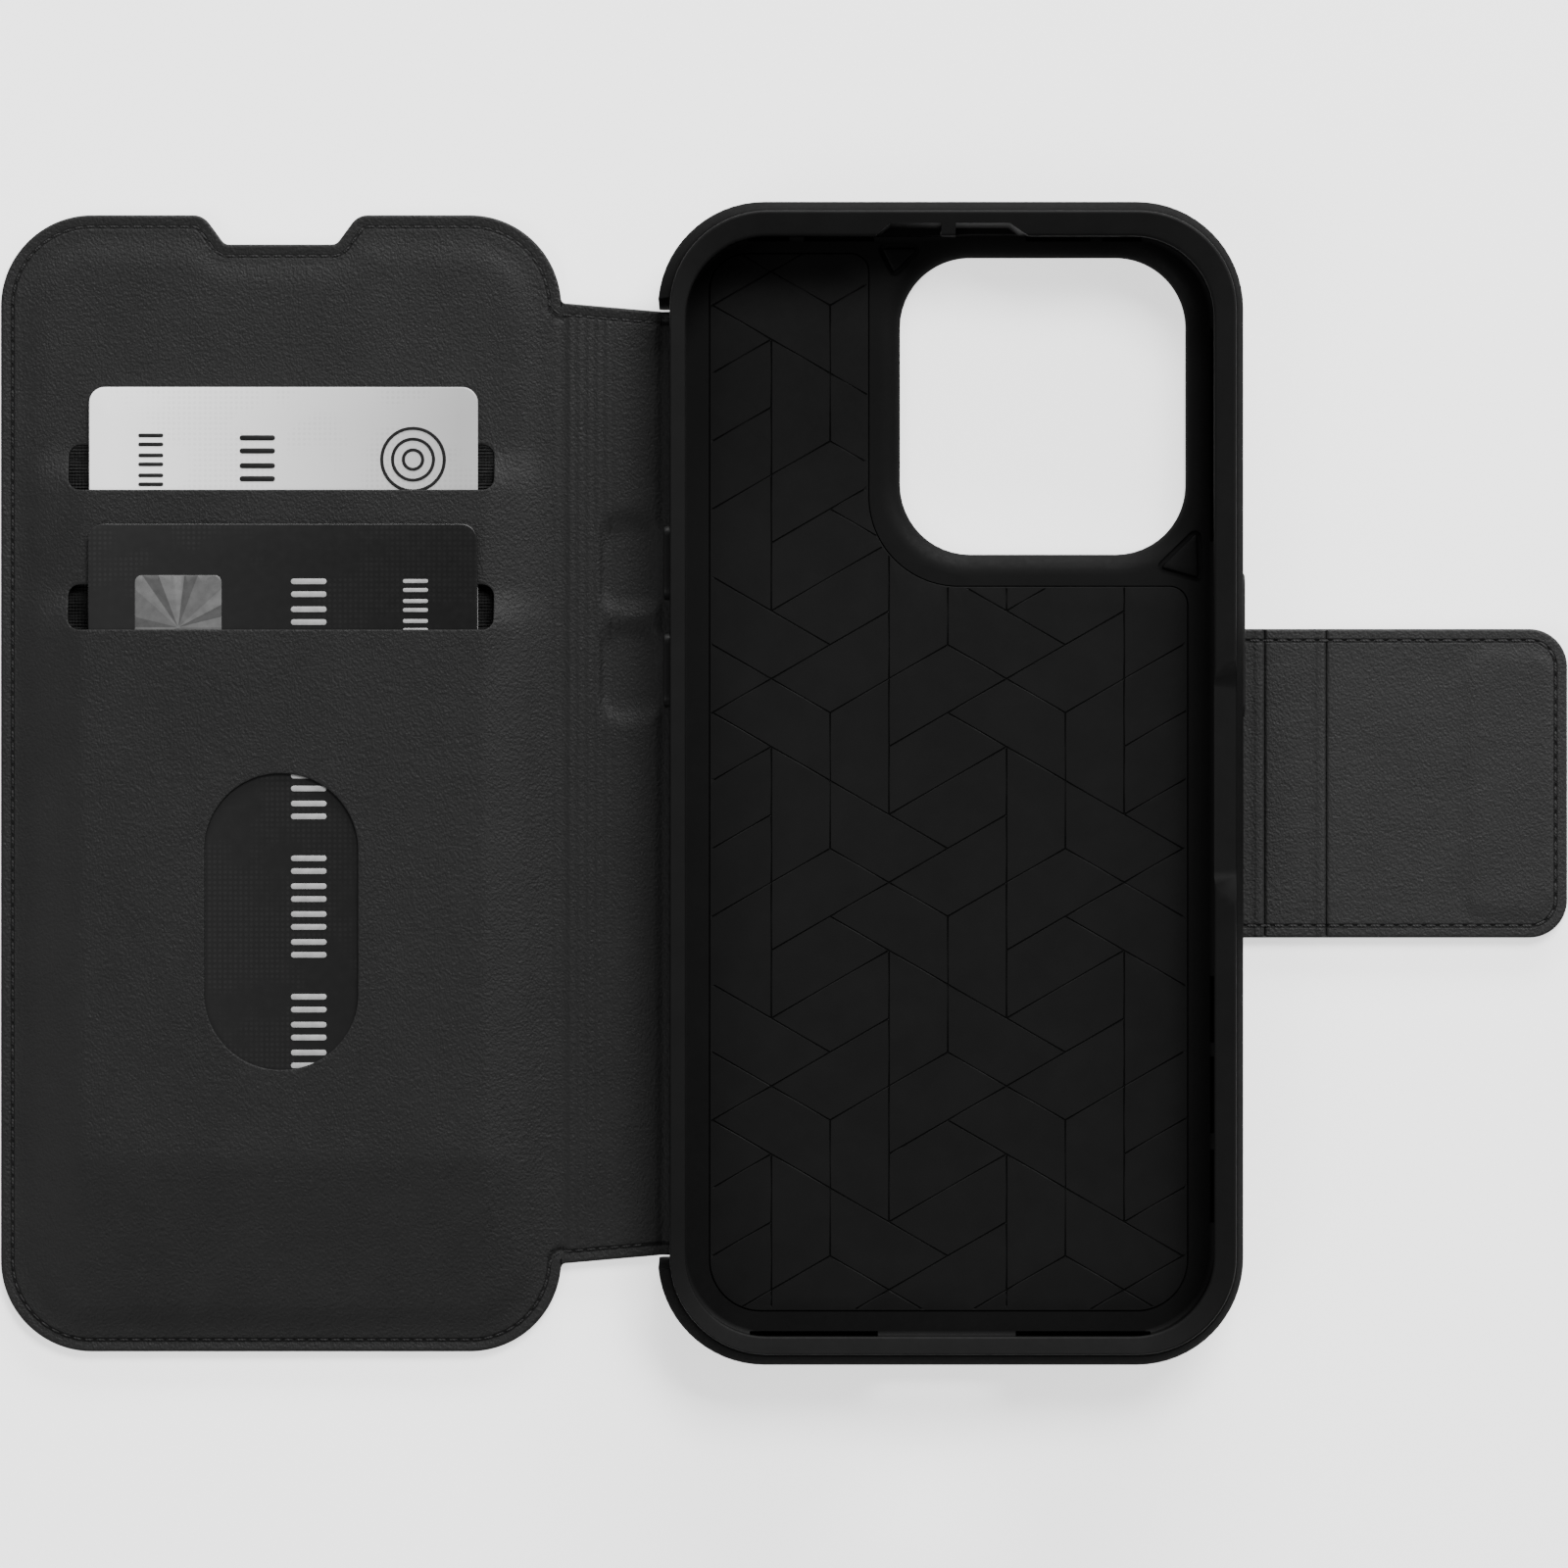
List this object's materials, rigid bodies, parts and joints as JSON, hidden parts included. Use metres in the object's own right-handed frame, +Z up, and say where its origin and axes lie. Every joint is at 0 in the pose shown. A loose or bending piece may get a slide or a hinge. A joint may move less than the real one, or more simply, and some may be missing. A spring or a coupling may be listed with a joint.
{
  "type": "phone wallet case",
  "caption": "Leather folio case that holds a phone in a snap-in shell, with card pockets in its fold-over cover and a magnetic latch strap, lying open.",
  "frame": {"origin": "middle of the underside of the open case", "axes": "+X from the cover to the latch strap, +Y to the phone's top end, +Z up out of the open case"},
  "size_m": [0.2106, 0.1548, 0.0113],
  "materials": {
    "outer_leather": "fine-grained black leather, low sheen",
    "inner_leather": "fine-grained black leather, embossed and creased",
    "shell_plastic": "satin black moulded plastic",
    "bumper_rubber": "soft black rubber",
    "liner_plastic": "matt black panel with a fine line pattern",
    "thread": "grey sewing thread",
    "lining": "coarse black weave",
    "board": "stiffening board, hidden",
    "keeper_steel": "thin plate, hidden",
    "magnet": "thin flat magnet, hidden",
    "card_silver": "silver card",
    "card_black": "black card"
  },
  "bodies": {
    "shell": {"shell_tray": "shell_plastic", "bumper_frame": "bumper_rubber", "floor_liner": "liner_plastic", "back_leather": "outer_leather"},
    "spine": {"spine_outer_leather": "outer_leather", "spine_inner_leather": "inner_leather", "spine_stitching": "thread"},
    "cover": {"cover_outer_leather": "outer_leather", "cover_board": "board", "cover_inner_leather": "inner_leather", "cover_stitching": "thread", "pocket_lining": "lining", "pocket_divider": "lining", "latch_keeper": "keeper_steel"},
    "upper_card": {"card_upper": "card_silver"},
    "lower_card": {"card_lower": "card_black"},
    "latch_side": {"latch_side_outer_leather": "outer_leather", "latch_side_inner_leather": "inner_leather", "latch_side_stiffener": "board", "latch_side_stitching": "thread"},
    "latch_flap": {"latch_flap_outer_leather": "outer_leather", "latch_flap_inner_leather": "inner_leather", "latch_magnet": "magnet", "latch_flap_stitching": "thread"},
    "power_key": {"power_button": "shell_plastic"},
    "volume_up_key": {"volume_up_button": "shell_plastic"},
    "volume_down_key": {"volume_down_button": "shell_plastic"}
  },
  "joints": [
    {"name": "spine_fold", "type": "hinge", "parent": "shell", "child": "spine", "pos_m": [-0.01635, 0, 0.0007], "axis": [0, 1, 0], "range_deg": [-90, 90]},
    {"name": "cover_fold", "type": "hinge", "parent": "spine", "child": "cover", "pos_m": [-0.0301, 0, 0.0007], "axis": [0, 1, 0], "range_deg": [-90, 90]},
    {"name": "latch_lift", "type": "hinge", "parent": "shell", "child": "latch_side", "pos_m": [0.0626, 0, 0.0007], "axis": [0, -1, 0], "range_deg": [0, 90]},
    {"name": "latch_fold", "type": "hinge", "parent": "latch_side", "child": "latch_flap", "pos_m": [0.078, 0, 0.0007], "axis": [0, -1, 0], "range_deg": [0, 90]},
    {"name": "power_press", "type": "slide", "parent": "shell", "child": "power_key", "axis": [-1, 0, 0], "range_m": [0, 0.0004], "stiffness_N_per_m": 2500},
    {"name": "volume_up_press", "type": "slide", "parent": "shell", "child": "volume_up_key", "axis": [1, 0, 0], "range_m": [0, 0.0004], "stiffness_N_per_m": 2500},
    {"name": "volume_down_press", "type": "slide", "parent": "shell", "child": "volume_down_key", "axis": [1, 0, 0], "range_m": [0, 0.0004], "stiffness_N_per_m": 2500},
    {"name": "upper_card_slide", "type": "slide", "parent": "cover", "child": "upper_card", "axis": [0, 1, 0], "range_m": [0, 0.085]},
    {"name": "lower_card_slide", "type": "slide", "parent": "cover", "child": "lower_card", "axis": [0, 1, 0], "range_m": [0, 0.085]}
  ]
}
